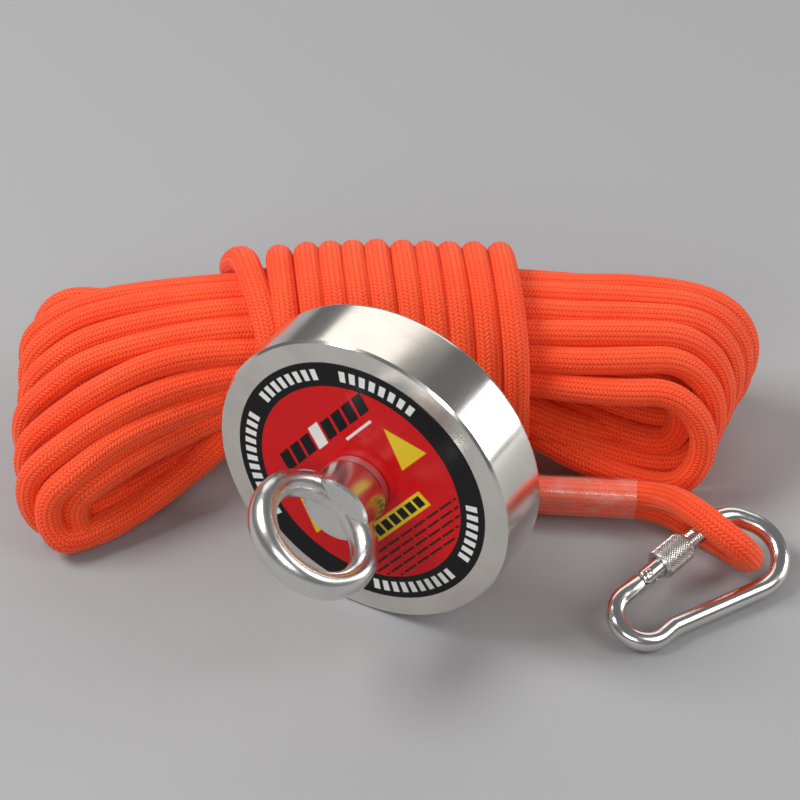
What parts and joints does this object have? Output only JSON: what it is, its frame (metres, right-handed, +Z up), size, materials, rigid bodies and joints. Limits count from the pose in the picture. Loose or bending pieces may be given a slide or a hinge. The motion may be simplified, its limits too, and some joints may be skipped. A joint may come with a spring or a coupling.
{
  "type": "fishing magnet set",
  "caption": "Round pot magnet standing on its rim with an oval-ringed eyebolt, beside a wrapped hank of braided rope ending in an eye that holds a screw-lock snap hook",
  "frame": {"origin": "on the floor, under the middle of the magnet's box with its eyebolt", "axes": "+Z up; the magnet's axis lies along Y, its label and eyebolt face -Y and its pull face faces +Y; the hank lies behind it towards +Y and the snap hook is at its +X side"},
  "size_m": [0.2361, 0.1777, 0.09],
  "materials": {
    "nickel_steel": "bright nickel plate, satin on the front rim",
    "nickel_magnet": "nickel plate",
    "black_resin": "cast epoxy",
    "label_film": "glossy film, red disc in a black ring",
    "zinc_steel": "bright zinc plate",
    "chromed_steel": "polished plate",
    "hook_steel": "polished stainless steel",
    "knurled_steel": "diamond knurl",
    "spring_steel": "drawn wire",
    "rope_braid": "bright orange-red braid",
    "clear_shrink": "clear glossy film"
  },
  "bodies": {
    "magnet": {"pot_shell": "nickel_steel", "ring_magnet": "nickel_magnet", "centre_pole": "nickel_steel", "cast_resin": "black_resin", "face_label": "label_film"},
    "washer": {"lock_washer": "zinc_steel"},
    "eyebolt": {"eyebolt": "chromed_steel"},
    "rope": {"rope_hank": "rope_braid", "rope_lead": "rope_braid", "shrink_sleeve": "clear_shrink"},
    "hook": {"hook_body": "hook_steel"},
    "gate": {"hook_gate": "hook_steel", "gate_rivet": "hook_steel", "latch_pin": "hook_steel", "gate_spring": "spring_steel", "spring_plunger": "hook_steel"},
    "lock_sleeve": {"lock_sleeve": "knurled_steel"}
  },
  "joints": [
    {"name": "washer_out", "type": "slide", "parent": "magnet", "child": "washer", "axis": [0, -1, 0], "range_m": [0, 0.0136]},
    {"name": "eyebolt_turn", "type": "hinge", "parent": "washer", "child": "eyebolt", "pos_m": [0, 0, 0.045], "axis": [0, -1, 0], "range_deg": [0, 3240]},
    {"name": "rope_lift", "type": "slide", "parent": "magnet", "child": "rope", "axis": [0, 0, 1], "range_m": [0, 0.15]},
    {"name": "hook_swing", "type": "hinge", "parent": "rope", "child": "hook", "pos_m": [0.07477, 0.0752, 0.01202], "axis": [-0.2561, -0.9619, -0.0955], "range_deg": [0, 60], "deforming": ["rope_lead"]},
    {"name": "gate_open", "type": "hinge", "parent": "hook", "child": "gate", "pos_m": [0.06853, 0.05173, 0.00969], "axis": [-0.3205, 0.1777, -0.9304], "range_deg": [0, 22], "stiffness_Nm_per_rad": 0.15, "springref_deg": -20.05, "deforming": ["rope_lead", "gate_spring", "spring_plunger"]},
    {"name": "lock_slide", "type": "slide", "parent": "gate", "child": "lock_sleeve", "axis": [0.2561, 0.9619, 0.0955], "range_m": [0, 0.0122], "deforming": ["rope_lead"]}
  ],
  "couplings": [
    {"joint": "washer_out", "follows": "eyebolt_turn", "m_per_rad": 0.00023873}
  ]
}
